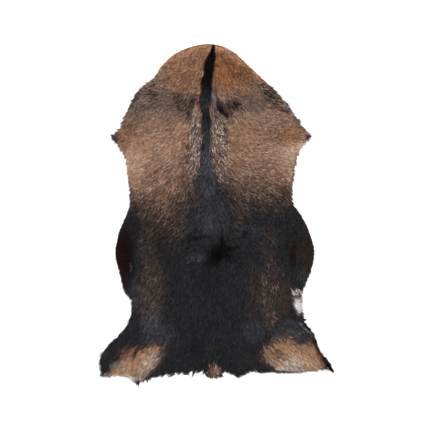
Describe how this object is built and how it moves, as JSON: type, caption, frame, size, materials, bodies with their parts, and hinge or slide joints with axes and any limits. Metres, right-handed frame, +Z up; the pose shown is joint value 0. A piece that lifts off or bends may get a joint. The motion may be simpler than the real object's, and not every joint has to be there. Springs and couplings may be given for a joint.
{
  "type": "goatskin",
  "caption": "Tanned goatskin with its hair on, lying flat hair side up: brown neck and shoulders, black back and rump, tan patches on the hind legs.",
  "frame": {"origin": "on the floor, in the middle of the skin's length and width", "axes": "+X towards the animal's right side, +Y from the tail to the neck, +Z up out of the hair side"},
  "size_m": [0.6564, 0.9584, 0.0132],
  "materials": {
    "coat": "short glossy goat hair, brown at the front and black behind, lying towards the tail",
    "hide": "tanned cream flesh side with a soft nap"
  },
  "bodies": {
    "root": {"goatskin": "coat"}
  },
  "joints": []
}
